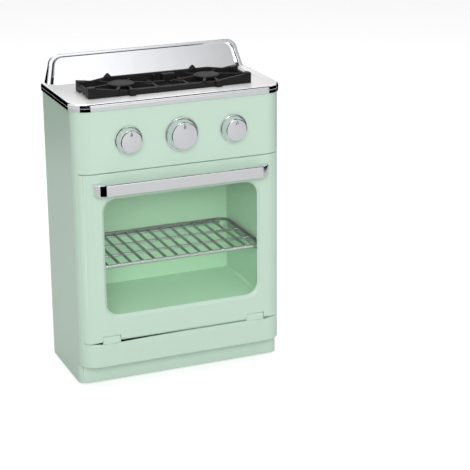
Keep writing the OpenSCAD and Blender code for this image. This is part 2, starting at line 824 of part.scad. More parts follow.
module door_front() {
    placed() color(mint) difference() {
        union() {
            difference() {
                intersection() {
                    block(hinge_z, door_z1, 0, corner_r);
                    translate([-body_w, 0, 0]) cube([2 * body_w, door_t, door_z1]);
                }
                // pocket behind the skin, closed by the inner frame
                slab(skin, door_t + 1) frame_2d(2 * pocket_x, pocket_z0, pocket_z1, 4);
            }
            // round lower edge about the hinge
            intersection() {
                translate([-body_w / 2, hinge_y, hinge_z]) bar_x(door_t / 2, body_w);
                block(hinge_z - 5, hinge_z + 5, 0, corner_r);
            }
            for (s = [-1, 1], z = door_screw_zs)
                translate([s * door_screw_x, skin - eps, z]) bar_y(2.8, door_t - inner_t - skin - 0.05);
            for (s = [-1, 1]) translate([s * handle_screw_x, skin - eps, handle_z]) bar_y(4, 1.5 + eps);
        }
        bevel_cut(window_w, window_z0, window_z1, window_r, bevel_w);
        for (s = [-1, 1]) {
            // notch round the hinge tab
            translate([s * tab_x - tab_w / 2 - notch_gap, -1, hinge_z - 6])
                cube([tab_w + 2 * notch_gap, door_t + 2, 6 + tab_r + notch_gap]);
            translate([s * tab_x - 15, hinge_y, hinge_z]) bar_x(pin_r, 30);
            for (z = door_screw_zs) translate([s * door_screw_x, 1.4, z]) bar_y(screw_r, door_t);
            translate([s * handle_screw_x, -1, handle_z]) bar_y(screw_r + screw_fit, 8);
        }
    }
}

module door_inner() {
    y0 = door_t - inner_t;
    placed() color(mint_in) difference() {
        union() {
            slab(y0, door_t) frame_2d(2 * pocket_x - 0.4, pocket_z0 + 0.2, pocket_z1 - 0.2, 3.8);
            // rib that presses the pane against the door's skin
            slab(pane_y + pane_t, y0 + 0.1)
                frame_2d(inner_win_w + 4, window_z0 - 3.5, window_z1 + 3.5, window_r + 3);
            // tongue for the catch
            translate([-7.5, door_t - 0.1, catch_z - 0.9]) cube([15, 9.5, 1.8]);
        }
        slab(0, door_t + 1) frame_2d(inner_win_w, window_z0 - 1.5, window_z1 + 1.5, window_r + 1);
        for (s = [-1, 1]) {
            for (z = door_screw_zs) translate([s * door_screw_x, y0 - 1, z]) {
                bar_y(screw_r + screw_fit, 4);
                translate([0, 1.5, 0]) bar_y(head_r + screw_fit, 3);
            }
            translate([s * handle_screw_x, y0 - 1, handle_z]) bar_y(3.2, 4);
        }
    }
}

module window_pane() {
    placed() color(clear) slab(pane_y, pane_y + pane_t)
        frame_2d(window_w + 8, window_z0 - 4, window_z1 + 4, 6);
}

// Flat bar whose two ends bend back to the door, seen from above
module handle_2d() {
    leg = 8.6;
    bend = 10.2;
    intersection() {
        difference() {
            plan(handle_w, -handle_out, 9, bend);
            plan(handle_w - 2 * leg, -handle_out + handle_t, 10, bend - 4);
        }
        translate([-handle_w / 2, -handle_out]) square([handle_w, handle_out]);
    }
}

module door_handle() {
    placed() color(chrome) difference() {
        translate([0, 0, handle_z - handle_h / 2]) linear_extrude(handle_h) handle_2d();
        for (s = [-1, 1]) translate([s * handle_screw_x, -6, handle_z]) bar_y(screw_r, 7);
    }
}

module handle_screws() {
    placed() color(steel) for (s = [-1, 1])
        translate([s * handle_screw_x, skin + 1.5, handle_z]) rotate([-90, 0, 0]) screw(8.5);
}

module door_screws() {
    placed() color(steel) for (s = [-1, 1], z = door_screw_zs)
        translate([s * door_screw_x, door_t - inner_t + 0.5, z]) rotate([-90, 0, 0]) low_screw();
}

// Low-headed screw that stays inside the door's thickness
module low_screw() {
    translate([0, 0, -3.4]) cylinder(r = screw_r, h = 3.5, $fn = 24);
    difference() {
        cylinder(r = head_r, h = 0.8, $fn = 32);
        for (a = [0, 90]) rotate(a) translate([-1.7, -0.3, 0.4]) cube([3.4, 0.6, 2]);
    }
}

module hinge_pins() {
    placed() color(steel) for (s = [-1, 1])
        translate([s * tab_x - 14, hinge_y, hinge_z]) bar_x(pin_r, 28);
}

// ------------------------------------------------------------------ shelf

// Plan of the rail that runs round both sides and the back
module rail_2d(half, y0, y1, t, bend) {
    mirror([0, 1]) difference() {
        plan(2 * half, -y1, -y0, bend);
        plan(2 * (half - t), t - y1, 1 - y0, bend - t);
    }
}

module rack() {
    wire_r = 1.4;
    front_r = 1.8;
    half = cav_w / 2 - 1.1;
    front = door_t + 0.6;
    back = cover_y - 0.3 - liner_t - 1.6;
    rail_t = 2.6;
    rail_h = 8.2;
    bend = 10;
    y0 = front + front_r;
    y1 = back - wire_r;
    step_y = (y1 - y0) / (rack_cross - 1);
    placed() color(steel) {
        // wires from side to side: a thick one in front, and a short one within the back bends
        for (i = [0:rack_cross - 1]) {
            reach = i == rack_cross - 1 ? half - bend + 3 : half - 1;
            translate([-reach, y0 + i * step_y, rack_z - 0.5]) bar_x(i == 0 ? front_r : wire_r, 2 * reach);
        }
        // wires from front to back, which lie on those
        for (i = [0:rack_wires - 1])
            translate([rack_x + (i - (rack_wires - 1) / 2) * rack_pitch, y0, rack_z + 1.2])
                bar_y(wire_r - 0.1, y1 - y0);
        // top rail, and under its two sides the deep rails that run on the liner's ledges
        translate([0, 0, rack_z + rail_h / 2 - rail_t]) linear_extrude(rail_t)
            rail_2d(half, front, back, rail_t, bend);
        for (s = [-1, 1]) translate([s > 0 ? half - rail_t : -half, front, rack_z - rail_h / 2])
            cube([rail_t, back - front - bend, rail_h]);
    }
}

cabinet_shell();
base_plate();
foot_pads();
base_screws();
back_cover();
back_cover_screws();
oven_liner();
liner_screws();
door_catch();
cooktop();
cooktop_screws();
burner_grate();
grate_screws();
click_springs();
spring_screws();
door_front();
door_inner();
window_pane();
door_handle();
handle_screws();
door_screws();
hinge_pins();
knob_node(0);  // knob_left
knob_node(1);  // knob_centre
knob_node(2);  // knob_right
shaft_node(0);  // shaft_left
shaft_node(1);  // shaft_centre
shaft_node(2);  // shaft_right
wheel_node(0);  // click_wheel_left
wheel_node(1);  // click_wheel_centre
wheel_node(2);  // click_wheel_right
shaft_screw_node(0);  // shaft_screw_left
shaft_screw_node(1);  // shaft_screw_centre
shaft_screw_node(2);  // shaft_screw_right
rack();
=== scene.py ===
# %% [markdown]
# # A toy oven in mint plastic and chrome
# This notebook dresses a small play oven. Its measured solids come from a CAD
# frame: the cabinet, the door, the knobs, the cooktop and the shelf are already
# at their real size and on their real joints. Blender gives each of them its
# finish, and rebuilds the mouldings whose rounded edges and thin lips make a
# toy look moulded instead of cut from a block.

import bpy
import bmesh
import json
import math
from mathutils import Matrix, Vector


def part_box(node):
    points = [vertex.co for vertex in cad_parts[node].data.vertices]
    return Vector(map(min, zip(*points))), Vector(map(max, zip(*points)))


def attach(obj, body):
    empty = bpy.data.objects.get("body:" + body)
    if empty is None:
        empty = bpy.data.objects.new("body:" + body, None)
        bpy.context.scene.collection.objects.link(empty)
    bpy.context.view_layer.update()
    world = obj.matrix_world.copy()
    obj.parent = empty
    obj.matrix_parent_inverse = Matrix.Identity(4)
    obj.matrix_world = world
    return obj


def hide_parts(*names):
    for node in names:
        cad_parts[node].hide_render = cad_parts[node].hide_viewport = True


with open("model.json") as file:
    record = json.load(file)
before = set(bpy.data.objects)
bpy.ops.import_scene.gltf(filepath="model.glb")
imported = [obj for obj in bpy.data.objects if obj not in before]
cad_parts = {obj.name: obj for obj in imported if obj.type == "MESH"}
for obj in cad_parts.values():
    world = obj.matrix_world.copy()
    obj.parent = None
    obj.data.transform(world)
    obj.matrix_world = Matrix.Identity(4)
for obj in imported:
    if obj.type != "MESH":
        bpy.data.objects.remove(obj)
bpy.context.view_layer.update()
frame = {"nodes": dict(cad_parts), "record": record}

# %% [markdown]
# ## Two small rules of place
# The oven is described in millimetres, with y counted from the door's face
# towards the back. The frame is in metres with its origin in the middle of the
# footprint, so one function turns a place on the oven into a place in the scene,
# and another one measures a solid in the oven's own millimetres.

# %% Places and sizes in millimetres
MM = 0.001
front_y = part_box("cabinet_shell")[0].y


def at(x, y, z):
    """A place on the oven, in millimetres from the door's face, as a point of the scene."""
    return Vector((x * MM, front_y + y * MM, z * MM))


def size_mm(node):
    """Lowest and highest corner of a CAD node, in the oven's own millimetres."""
    low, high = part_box(node)
    return [Vector((p.x / MM, (p.y - front_y) / MM, p.z / MM)) for p in (low, high)]


shell_low, shell_high = size_mm("cabinet_shell")
body_w = shell_high.x - shell_low.x
body_d = shell_high.y
body_top = shell_high.z
print(f"cabinet: {body_w:.1f} mm wide, {body_d:.1f} deep, with walls up to {body_top:.1f}")

# %% [markdown]
# ## The camera
# A product photographer stands well back with a long lens, a little above the
# oven and to its left. The distance and the lens set how fast the sides run
# together, and a small shift places the oven left of the middle of the picture.

# %% Place the camera
CAMERA_YAW = math.radians(22.719)
CAMERA_RISE = math.radians(17.872)
CAMERA_ROLL = math.radians(-0.403)
CAMERA_DISTANCE = 1588.93
CAMERA_TARGET = (86.461, 60.0, 128.428)
LENS = 124.83
SENSOR_WIDTH = 36
SHIFT = (-0.0202, -0.0430)
FARTHEST_SEEN = 20


def add_object(name, data):
    """An object that puts some data, such as a mesh or a lamp, into the scene."""
    thing = bpy.data.objects.new(name, data)
    bpy.context.scene.collection.objects.link(thing)
    return thing


def make_camera():
    """Stands on a line from the target that turns by the yaw and climbs by the rise."""
    across, up_share = math.cos(CAMERA_RISE), math.sin(CAMERA_RISE)
    back = Vector((-math.sin(CAMERA_YAW) * across, -math.cos(CAMERA_YAW) * across, up_share))
    level = Vector((math.cos(CAMERA_YAW), -math.sin(CAMERA_YAW), 0))
    rise = back.cross(level)
    right = math.cos(CAMERA_ROLL) * level + math.sin(CAMERA_ROLL) * rise
    up = math.cos(CAMERA_ROLL) * rise - math.sin(CAMERA_ROLL) * level
    data = bpy.data.cameras.new("camera")
    data.lens = LENS
    data.sensor_width = SENSOR_WIDTH
    data.shift_x, data.shift_y = SHIFT
    data.clip_end = FARTHEST_SEEN
    camera = add_object("camera", data)
    place = at(*CAMERA_TARGET) + back * CAMERA_DISTANCE * MM
    turn = Matrix((right, up, back)).transposed().to_4x4()
    camera.matrix_world = Matrix.Translation(place) @ turn
    bpy.context.scene.camera = camera
    return camera


camera = make_camera()
print("camera stands at", [round(c, 3) for c in camera.location])

# %% [markdown]
# ## The studio
# The world is plain white for everything that looks at it: the camera, mirror
# reflections and rays through the window pane. What falls on the oven as light
# is a weaker, even sky, so the colours come out about as they are written. The
# Light Path node tells these two kinds of ray apart.

# %% Light the world evenly
SKY_LIGHT = 0.47
WHITE = (1, 1, 1, 1)
bpy.context.scene.view_settings.view_transform = "Standard"


def node_tree(owner):
    """The empty node tree of a material or a world."""
    owner.use_nodes = True
    owner.node_tree.nodes.clear()
    return owner.node_tree


def add_node(tree, kind, **values):
    """A node with its plain properties set. Inputs are set afterwards, by name."""
    node = tree.nodes.new(kind)
    for name, value in values.items():
        setattr(node, name, value)
    return node


def seen_directly(tree):
    """1 for camera, mirror and transmission rays, and 0 for the rays that gather light."""
    path = add_node(tree, "ShaderNodeLightPath")
    seen = path.outputs["Is Camera Ray"]
    for name in ("Is Glossy Ray", "Is Transmission Ray"):
        either = add_node(tree, "ShaderNodeMath", operation="MAXIMUM")
        tree.links.new(seen, either.inputs[0])
        tree.links.new(path.outputs[name], either.inputs[1])
        seen = either.outputs[0]
    return seen


def make_world():
    """An even sky for light, and a white backdrop for whatever looks at it."""
    world = bpy.data.worlds.new("studio")
    bpy.context.scene.world = world
    tree = node_tree(world)
    sky = add_node(tree, "ShaderNodeBackground")
    sky.inputs["Strength"].default_value = SKY_LIGHT
    backdrop = add_node(tree, "ShaderNodeBackground")
    backdrop.inputs["Color"].default_value = WHITE
    backdrop.inputs["Strength"].default_value = 1
    mix = add_node(tree, "ShaderNodeMixShader")
    out = add_node(tree, "ShaderNodeOutputWorld")
    tree.links.new(seen_directly(tree), mix.inputs["Fac"])
    tree.links.new(sky.outputs[0], mix.inputs[1])
    tree.links.new(backdrop.outputs[0], mix.inputs[2])
    tree.links.new(mix.outputs[0], out.inputs["Surface"])


make_world()
print("the sky lights the oven with a strength of", SKY_LIGHT)

# %% [markdown]
# ## The floor
# The floor is one wide sheet of pale paper, which keeps the oven's shadow. It
# also glows a little for the camera, so that away from the shadow it runs into
# the white behind it. For mirrors it glows far less, because chrome that
# stands on paper shows it greyer than the sky.

# %% Lay the floor
FLOOR_HALF = 3.0
PAPER = (0.66, 0.66, 0.66, 1)
FLOOR_LIFT = 0.55
FLOOR_IN_MIRRORS = 0.06


def pale_paper():
    """Dull paper that adds a glow for the camera and a weaker one for mirrors and the pane."""
    material = bpy.data.materials.new("pale_floor")
    tree = node_tree(material)
    paper = add_node(tree, "ShaderNodeBsdfPrincipled")
    paper.inputs["Base Color"].default_value = PAPER
    paper.inputs["Roughness"].default_value = 0.9
    paper.inputs["Specular IOR Level"].default_value = 0.1
    glow = add_node(tree, "ShaderNodeEmission")
    glow.inputs["Color"].default_value = WHITE
    mirrored = add_node(tree, "ShaderNodeMath", operation="MULTIPLY")
    mirrored.inputs[1].default_value = FLOOR_IN_MIRRORS
    strength = add_node(tree, "ShaderNodeMath", operation="MULTIPLY_ADD")
    strength.inputs[1].default_value = FLOOR_LIFT - FLOOR_IN_MIRRORS
    path = add_node(tree, "ShaderNodeLightPath")
    add = add_node(tree, "ShaderNodeAddShader")
    out = add_node(tree, "ShaderNodeOutputMaterial")
    tree.links.new(seen_directly(tree), mirrored.inputs[0])
    tree.links.new(path.outputs["Is Camera Ray"], strength.inputs[0])
    tree.links.new(mirrored.outputs[0], strength.inputs[2])
    tree.links.new(strength.outputs[0], glow.inputs["Strength"])
    tree.links.new(paper.outputs[0], add.inputs[0])
    tree.links.new(glow.outputs[0], add.inputs[1])
    tree.links.new(add.outputs[0], out.inputs["Surface"])
    return material


def add_sheet(name, points, faces, material):
    """A plain mesh object of one material, from its points and faces in metres."""
    mesh = bpy.data.meshes.new(name)
    mesh.from_pydata(points, [], faces)
    mesh.materials.append(material)
    return add_object(name, mesh)


corners = [(x * FLOOR_HALF, y * FLOOR_HALF, 0) for x, y in ((-1, -1), (1, -1), (1, 1), (-1, 1))]
floor = add_sheet("floor", corners, [(0, 1, 2, 3)], pale_paper())
print("the floor is", 2 * FLOOR_HALF, "m wide")

# %% [markdown]
# ## Soft lamps
# Two large soft boxes shape the oven: the key stands in front and to the left,
# and a broad one hangs overhead. Large lamps give soft shadows, and their
# reflections in the gloss are wide and gentle, as in a product picture.

# %% Hang the soft boxes
MIDDLE = at(0, 50, 140)


def soft_box(name, place, width, height, watts):
    """A rectangular area lamp that looks at the middle of the oven."""
    data = bpy.data.lights.new(name, "AREA")
    data.shape = "RECTANGLE"
    data.size = width
    data.size_y = height
    data.energy = watts
    lamp = add_object(name, data)
    lamp.location = place
    lamp.rotation_mode = "QUATERNION"
    lamp.rotation_quaternion = (MIDDLE - Vector(place)).to_track_quat("-Z", "Y")


soft_box("key_box", place=(-0.6, -2.2, 1.3), width=1.6, height=1.2, watts=33)
soft_box("top_box", place=(0.2, 0.3, 2.0), width=2.0, height=1.4, watts=18)
print("two soft boxes light the oven")

# %% [markdown]
# ## Dark flags and a white card
# Chrome has no colour of its own and needs something dark to reflect, or it
# looks like grey paint. So, as in a studio, black flags stand beside the
# camera, on the right and behind the oven's left, and a white card that fades
# to grey stands in front on the right. Only mirror reflections see them: they
# take no light away and stay out of the picture.

# %% Bend a flag
FLAG_STEPS = 12


def only_in_mirrors(card):
    """Hides a card from the camera and from the rays that gather light."""
    card.visible_camera = False
    card.visible_diffuse = False
    card.visible_transmission = False
    card.visible_shadow = False


def make_flag(name, azimuths, distance, low, high, material):
    """An upright card, bent round the oven between two compass angles, seen only by mirrors.

    Azimuth 0 is in front of the door and 90 is on the oven's right, when one faces it."""
    start, end = azimuths
    points = []
    for i in range(FLAG_STEPS + 1):
        turn = math.radians(start + (end - start) * i / FLAG_STEPS)
        x, y = math.sin(turn) * distance, -math.cos(turn) * distance
        points += [(x, y, low), (x, y, high)]
    faces = [(2 * i, 2 * i + 2, 2 * i + 3, 2 * i + 1) for i in range(FLAG_STEPS)]
    only_in_mirrors(add_sheet(name, points, faces, material))


print("a flag is made of", FLAG_STEPS, "flat strips")

# %% [markdown]
# Their materials only emit: the cloth emits nothing, and the card emits a
# brightness that a Map Range node fades from one place along X to another.

# %% Stand the flags round the oven
def glowing(name, strength):
    """A plain surface of one brightness: 0 is black cloth, and more than 1 is a lit white card."""
    material = bpy.data.materials.new(name)
    tree = node_tree(material)
    glow = add_node(tree, "ShaderNodeEmission")
    glow.inputs["Color"].default_value = WHITE
    glow.inputs["Strength"].default_value = strength
    out = add_node(tree, "ShaderNodeOutputMaterial")
    tree.links.new(glow.outputs[0], out.inputs["Surface"])
    return material


def fading_card(name, left, right, start, end):
    """A card that fades from one brightness to another between two places along X."""
    material = glowing(name, left)
    tree = material.node_tree
    place = add_node(tree, "ShaderNodeTexCoord")
    split = add_node(tree, "ShaderNodeSeparateXYZ")
    fade = add_node(tree, "ShaderNodeMapRange")
    values = {"From Min": start, "From Max": end, "To Min": left, "To Max": right}
    for socket, value in values.items():
        fade.inputs[socket].default_value = value
    tree.links.new(place.outputs["Object"], split.inputs[0])
    tree.links.new(split.outputs["X"], fade.inputs["Value"])
    tree.links.new(fade.outputs[0], tree.nodes["Emission"].inputs["Strength"])
    return material


cloth = glowing("flag_cloth", 0.0)
make_flag("flag_left", (-162, -138), distance=0.62, low=0.065, high=0.75, material=cloth)
make_flag("flag_camera", (-56, 0), distance=0.45, low=0.0, high=0.95, material=cloth)
make_flag("flag_side", (42, 98), distance=0.75, low=0.0, high=0.85, material=cloth)
make_flag("flag_right", (100, 150), distance=0.75, low=0.0, high=0.55, material=cloth)
card = fading_card("lit_card", left=1.30, right=0.42, start=0.30, end=0.60)
make_flag("card_right", (0, 50), distance=1.1, low=0.24, high=0.75, material=card)
print("four flags and a card stand round the oven")

# %% [markdown]
# One more flag hangs overhead, a little in front. The rounded upper front
# edges of the plated parts mirror it as the thin dark lines that outline them.

# %% Hang the flag above
ROOF_STEPS = 32


def make_roof(name, place, radius, material):
    """A level round card, seen only by mirrors."""
    x, y, z = place
    turns = [2 * math.pi * i / ROOF_STEPS for i in range(ROOF_STEPS)]
    rim = [(x + radius * math.cos(t), y + radius * math.sin(t), z) for t in turns]
    only_in_mirrors(add_sheet(name, rim, [tuple(range(ROOF_STEPS))], material))


make_roof("flag_above", place=(0.30, -0.25, 0.95), radius=0.42, material=cloth)
print("a round flag hangs above")

# %% [markdown]
# ## What every finish shares
# Real mouldings are never quite even. One node group adds what the eye expects
# of any surface here: a slow drift between two near colours, faint smudges in
# the gloss, and waves and a fine grain in the height. It puts out a colour, a
# roughness and a normal, and every material sets its own amounts.

# %% Build the shared skin
SKIN_INPUTS = (
    ("Colour", "NodeSocketColor", (0.5, 0.5, 0.5, 1)),
    ("Second colour", "NodeSocketColor", (0.5, 0.5, 0.5, 1)),
    ("Drift size", "NodeSocketFloat", 12.0),
    ("Roughness", "NodeSocketFloat", 0.3),
    ("Smudge", "NodeSocketFloat", 0.05),
    ("Grain size", "NodeSocketFloat", 600.0),
    ("Grain depth", "NodeSocketFloat", 0.02),
    ("Wave size", "NodeSocketFloat", 20.0),
    ("Wave depth", "NodeSocketFloat", 0.0),
)
SKIN_OUTPUTS = (
    ("Colour", "NodeSocketColor"),
    ("Roughness", "NodeSocketFloat"),
    ("Normal", "NodeSocketVector"),
)
MIDDLE_OF_NOISE = 0.5
WAVE_HEIGHT = 0.001
GRAIN_HEIGHT = 0.0002


def make_skin_group():
    """The node group, from three noises: one for colour and gloss, and two for the height."""
    group = bpy.data.node_groups.new("moulded_skin", "ShaderNodeTree")
    for name, kind, value in SKIN_INPUTS:
        socket = group.interface.new_socket(name=name, in_out="INPUT", socket_type=kind)
        socket.default_value = value
    for name, kind in SKIN_OUTPUTS:
        group.interface.new_socket(name=name, in_out="OUTPUT", socket_type=kind)
    given = add_node(group, "NodeGroupInput")
    result = add_node(group, "NodeGroupOutput")
    place = add_node(group, "ShaderNodeTexCoord")
    link = group.links.new

    def noise(size, detail):
        node = add_node(group, "ShaderNodeTexNoise")
        node.inputs["Detail"].default_value = detail
        link(place.outputs["Object"], node.inputs["Vector"])
        link(given.outputs[size], node.inputs["Scale"])
        return node.outputs["Fac"]

    drift = noise("Drift size", detail=3)
    mix = add_node(group, "ShaderNodeMix", data_type="RGBA")
    link(drift, mix.inputs["Factor"])
    link(given.outputs["Colour"], mix.inputs["A"])
    link(given.outputs["Second colour"], mix.inputs["B"])
    link(mix.outputs["Result"], result.inputs["Colour"])

    centred = add_node(group, "ShaderNodeMath", operation="SUBTRACT")
    centred.inputs[1].default_value = MIDDLE_OF_NOISE
    link(drift, centred.inputs[0])
    smudge = add_node(group, "ShaderNodeMath", operation="MULTIPLY_ADD")
    link(centred.outputs[0], smudge.inputs[0])
    link(given.outputs["Smudge"], smudge.inputs[1])
    link(given.outputs["Roughness"], smudge.inputs[2])
    link(smudge.outputs[0], result.inputs["Roughness"])

    wave = add_node(group, "ShaderNodeBump")
    wave.inputs["Distance"].default_value = WAVE_HEIGHT
    link(noise("Wave size", detail=1), wave.inputs["Height"])
    link(given.outputs["Wave depth"], wave.inputs["Strength"])
    grain = add_node(group, "ShaderNodeBump")
    grain.inputs["Distance"].default_value = GRAIN_HEIGHT
    link(noise("Grain size", detail=2), grain.inputs["Height"])
    link(given.outputs["Grain depth"], grain.inputs["Strength"])
    link(wave.outputs[0], grain.inputs["Normal"])
    link(grain.outputs[0], result.inputs["Normal"])
    return group


skin_group = make_skin_group()
print("the shared skin takes", len(SKIN_INPUTS), "values and gives", len(SKIN_OUTPUTS))

# %% [markdown]
# A finish is one material: the skin group feeds the colour, the roughness and
# the normal of a Principled shader, and whatever is the same all over, such as
# being metal, is set on the shader itself.

# %% Make a finish from the skin
def finish(name, colour, second, group_values, shader_values):
    """A material from two near colours, the skin's own amounts and the shader's fixed values."""
    material = bpy.data.materials.new(name)
    tree = node_tree(material)
    skin = add_node(tree, "ShaderNodeGroup", node_tree=skin_group)
    skin.inputs["Colour"].default_value = (*colour, 1)
    skin.inputs["Second colour"].default_value = (*second, 1)
    for socket, value in group_values.items():
        skin.inputs[socket].default_value = value
    shader = add_node(tree, "ShaderNodeBsdfPrincipled")
    for socket, value in shader_values.items():
        shader.inputs[socket].default_value = value
    out = add_node(tree, "ShaderNodeOutputMaterial")
    tree.links.new(skin.outputs["Colour"], shader.inputs["Base Color"])
    tree.links.new(skin.outputs["Roughness"], shader.inputs["Roughness"])
    tree.links.new(skin.outputs["Normal"], shader.inputs["Normal"])
    tree.links.new(shader.outputs[0], out.inputs["Surface"])
    material.diffuse_color = (*colour, 1)
    return material


print("each finish is one skin group in front of one Principled shader")

# %% [markdown]
# ## Finishes of the oven
# The cabinet is a glossy mint styrene. The oven's inside is the same mint in a
# deeper green, painted shade for the dim cavity and the green light bouncing in it.
# The bright parts are plastic with a thin metal film, which is greyer than
# solid chrome and mirrors a little unevenly.

# %% Plastics and plating
mint = finish(
    "mint_plastic",
    (0.600, 0.785, 0.658),
    (0.628, 0.803, 0.680),
    {
        "Roughness": 0.30,
        "Smudge": 0.06,
        "Grain size": 900.0,
        "Grain depth": 0.05,
        "Wave depth": 0.02,
    },
    {"IOR": 1.50},
)
# The liner is the cabinet's mint made darker and greener: painted shade for the cavity.
liner_with_painted_shade = finish(
    "liner_plastic",
    (0.440, 0.690, 0.475),
    (0.465, 0.715, 0.500),
    {
        "Roughness": 0.32,
        "Smudge": 0.06,
        "Grain size": 900.0,
        "Grain depth": 0.05,
        "Wave depth": 0.02,
    },
    {"IOR": 1.50},
)
plating = finish(
    "chrome_plating",
    (0.775, 0.795, 0.815),
    (0.805, 0.820, 0.840),
    {
        "Roughness": 0.07,
        "Smudge": 0.05,
        "Grain depth": 0.01,
        "Wave size": 60.0,
        "Wave depth": 0.05,
    },
    {"Metallic": 1.0},
)
black = finish(
    "black_plastic",
    (0.005, 0.005, 0.005),
    (0.010, 0.010, 0.010),
    {"Roughness": 0.46, "Smudge": 0.15, "Grain size": 1400.0, "Grain depth": 0.25},
    {"IOR": 1.48, "Specular IOR Level": 0.22},
)
print("plastics and plating:", ", ".join(m.name for m in (mint, liner_with_painted_shade, plating, black)))

# %% [markdown]
# The rest is small: the bright wire of the shelf, white nylon for the shafts,
# zinc-plated screws, soft feet and the clear pane. They use the same skin with
# other amounts, so a new finish costs only a few numbers.

# %% Wire, nylon, screws, feet and pane
wire = finish(
    "rack_wire",
    (0.56, 0.57, 0.58),
    (0.64, 0.64, 0.65),
    {"Roughness": 0.20, "Smudge": 0.10, "Grain size": 1500.0, "Grain depth": 0.05},
    {"Metallic": 1.0},
)
nylon = finish(
    "white_nylon",
    (0.78, 0.78, 0.72),
    (0.82, 0.82, 0.77),
    {"Roughness": 0.45, "Smudge": 0.08, "Grain depth": 0.05},
    {"IOR": 1.53},
)
steel = finish(
    "screw_steel",
    (0.64, 0.64, 0.65),
    (0.62, 0.62, 0.60),
    {
        "Roughness": 0.34,
        "Smudge": 0.2,
        "Grain size": 2500.0,
        "Grain depth": 0.2,
        "Drift size": 400.0,
    },
    {"Metallic": 1.0},
)
rubber = finish(
    "foot_rubber",
    (0.03, 0.03, 0.03),
    (0.05, 0.05, 0.05),
    {"Roughness": 0.75, "Smudge": 0.1, "Grain size": 1500.0, "Grain depth": 0.4},
    {"IOR": 1.5},
)
pane = finish(
    "clear_pane",
    (0.93, 0.98, 0.95),
    (0.95, 0.99, 0.96),
    {"Roughness": 0.02, "Smudge": 0.02, "Grain depth": 0.0, "Wave depth": 0.02},
    {"IOR": 1.49, "Transmission Weight": 1.0},
)
print("the small finishes:", ", ".join(m.name for m in (wire, nylon, steel, rubber, pane)))

# %% [markdown]
# ## Dress the solids
# The record gives each solid a slot, which is the name of what it is made of.
# Every solid gets the finish of its slot first. The ones that are rebuilt
# below are then replaced by their new pieces.

# %% Give every solid its finish
FINISHES = {
    "mint_plastic": mint,
    "liner_plastic": liner_with_painted_shade,
    "chrome_plating": plating,
    "black_plastic": black,
    "clear_pane": pane,
    "rack_wire": wire,
    "white_nylon": nylon,
    "screw_steel": steel,
    "foot_rubber": rubber,
}

for row in frame["record"]["subparts"]:
    solid = frame["nodes"][row["node"]]
    solid.data.materials.clear()
    solid.data.materials.append(FINISHES[row["material_slot"]])

# %% [markdown]
# The pane is thin clear plastic. Its own shadow would be far too dark for
# that, because a path tracer can't follow lamp light through refraction, so the
# pane lets all light pass into the cavity.

# %% Let the light through the pane
frame["nodes"]["window_pane"].visible_shadow = False
print("the pane casts no shadow")

# %% [markdown]
# ## Mould the edges
# The CAD solids have knife edges, but a moulded toy has none: every corner has
# a small radius, and that radius is what draws the thin highlights by which
# we read the shape. A Bevel modifier would round every edge alike. Here the
# solid is copied, its flat faces are joined again, and only the edges that a
# rule picks are bevelled, so that lips, seams and big corners get their own radius.

# %% Copy a solid and round its edges
SAME_POINT = 2e-6
FLAT_WITHIN = math.radians(0.6)


def weld(mesh):
    """Joins the points of a bmesh that are closer than SAME_POINT, in metres."""
    bmesh.ops.remove_doubles(mesh, verts=mesh.verts, dist=SAME_POINT)


def flat_faced(node):
    """A bmesh of a CAD solid, with the triangles of each flat face joined into one."""
    mesh = bmesh.new()
    mesh.from_mesh(frame["nodes"][node].data)
    weld(mesh)
    bmesh.ops.dissolve_limit(
        mesh,
        angle_limit=FLAT_WITHIN,
        verts=mesh.verts,
        edges=mesh.edges,
        use_dissolve_boundaries=False,
    )
    return mesh


def sharp_edges(mesh, least_angle, wanted):
    """The edges that turn by more than least_angle degrees where the rule wants them.

    The rule gets the middle of an edge, in the oven's own millimetres."""
    found = []
    for edge in mesh.edges:
        if not edge.is_manifold or edge.calc_face_angle(0) < math.radians(least_angle):
            continue
        middle = (edge.verts[0].co + edge.verts[1].co) / 2
        if wanted(middle.x / MM, (middle.y - front_y) / MM, middle.z / MM):
            found.append(edge)
    return found


def round_edges(mesh, radius, steps, least_angle, wanted):
    """Rounds the wanted edges to a radius in millimetres and returns how many there were."""
    edges = sharp_edges(mesh, least_angle, wanted)
    bmesh.ops.bevel(
        mesh,
        geom=edges,
        offset=radius * MM,
        offset_type="OFFSET",
        segments=steps,
        profile=0.5,
        affect="EDGES",
        clamp_overlap=False,
    )
    weld(mesh)
    return len(edges)


solid = flat_faced("door_front")
print("the door's solid has", len(solid.faces), "faces once its flat ones are joined")
solid.free()

# %% [markdown]
# A finished mesh becomes a piece of the oven in one place: its outside is made
# to face outwards, it is smooth except where it turns sharply, and it rides on
# the same body as the solid that it replaces, so that it moves with the joints.

# %% Turn a mesh into a piece
def as_piece(name, mesh, material, body, replaces=(), sharp=35):
    """Turns a bmesh into a piece that rides on a body, smooth except at its sharp edges."""
    bmesh.ops.recalc_face_normals(mesh, faces=mesh.faces)
    data = bpy.data.meshes.new(name)
    mesh.to_mesh(data)
    mesh.free()
    data.shade_smooth()
    data.set_sharp_from_angle(angle=math.radians(sharp))
    data.materials.append(material)
    piece = add_object(name, data)
    weighted = piece.modifiers.new("flat_faces_stay_flat", "WEIGHTED_NORMAL")
    weighted.keep_sharp = True
    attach(piece, body)
    if replaces:
        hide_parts(*replaces)
    print(name, "has", len(data.polygons), "faces")
    return piece

# %% [markdown]
# ## The mint mouldings
# The cabinet is one deep moulding. Its panel, the door and the band under the
# door are only told apart by the rounded lips on either side of each gap. Only
# the edges of the front and of its two round corners get that lip, because
# the cooktop, the back cover and the oven box meet or hide the others.

# %% Round the cabinet's lips
LIP = 0.7
FRONT_DEPTH = 1
CORNER_DEPTH = 13
CORNER_WIDTH = 20


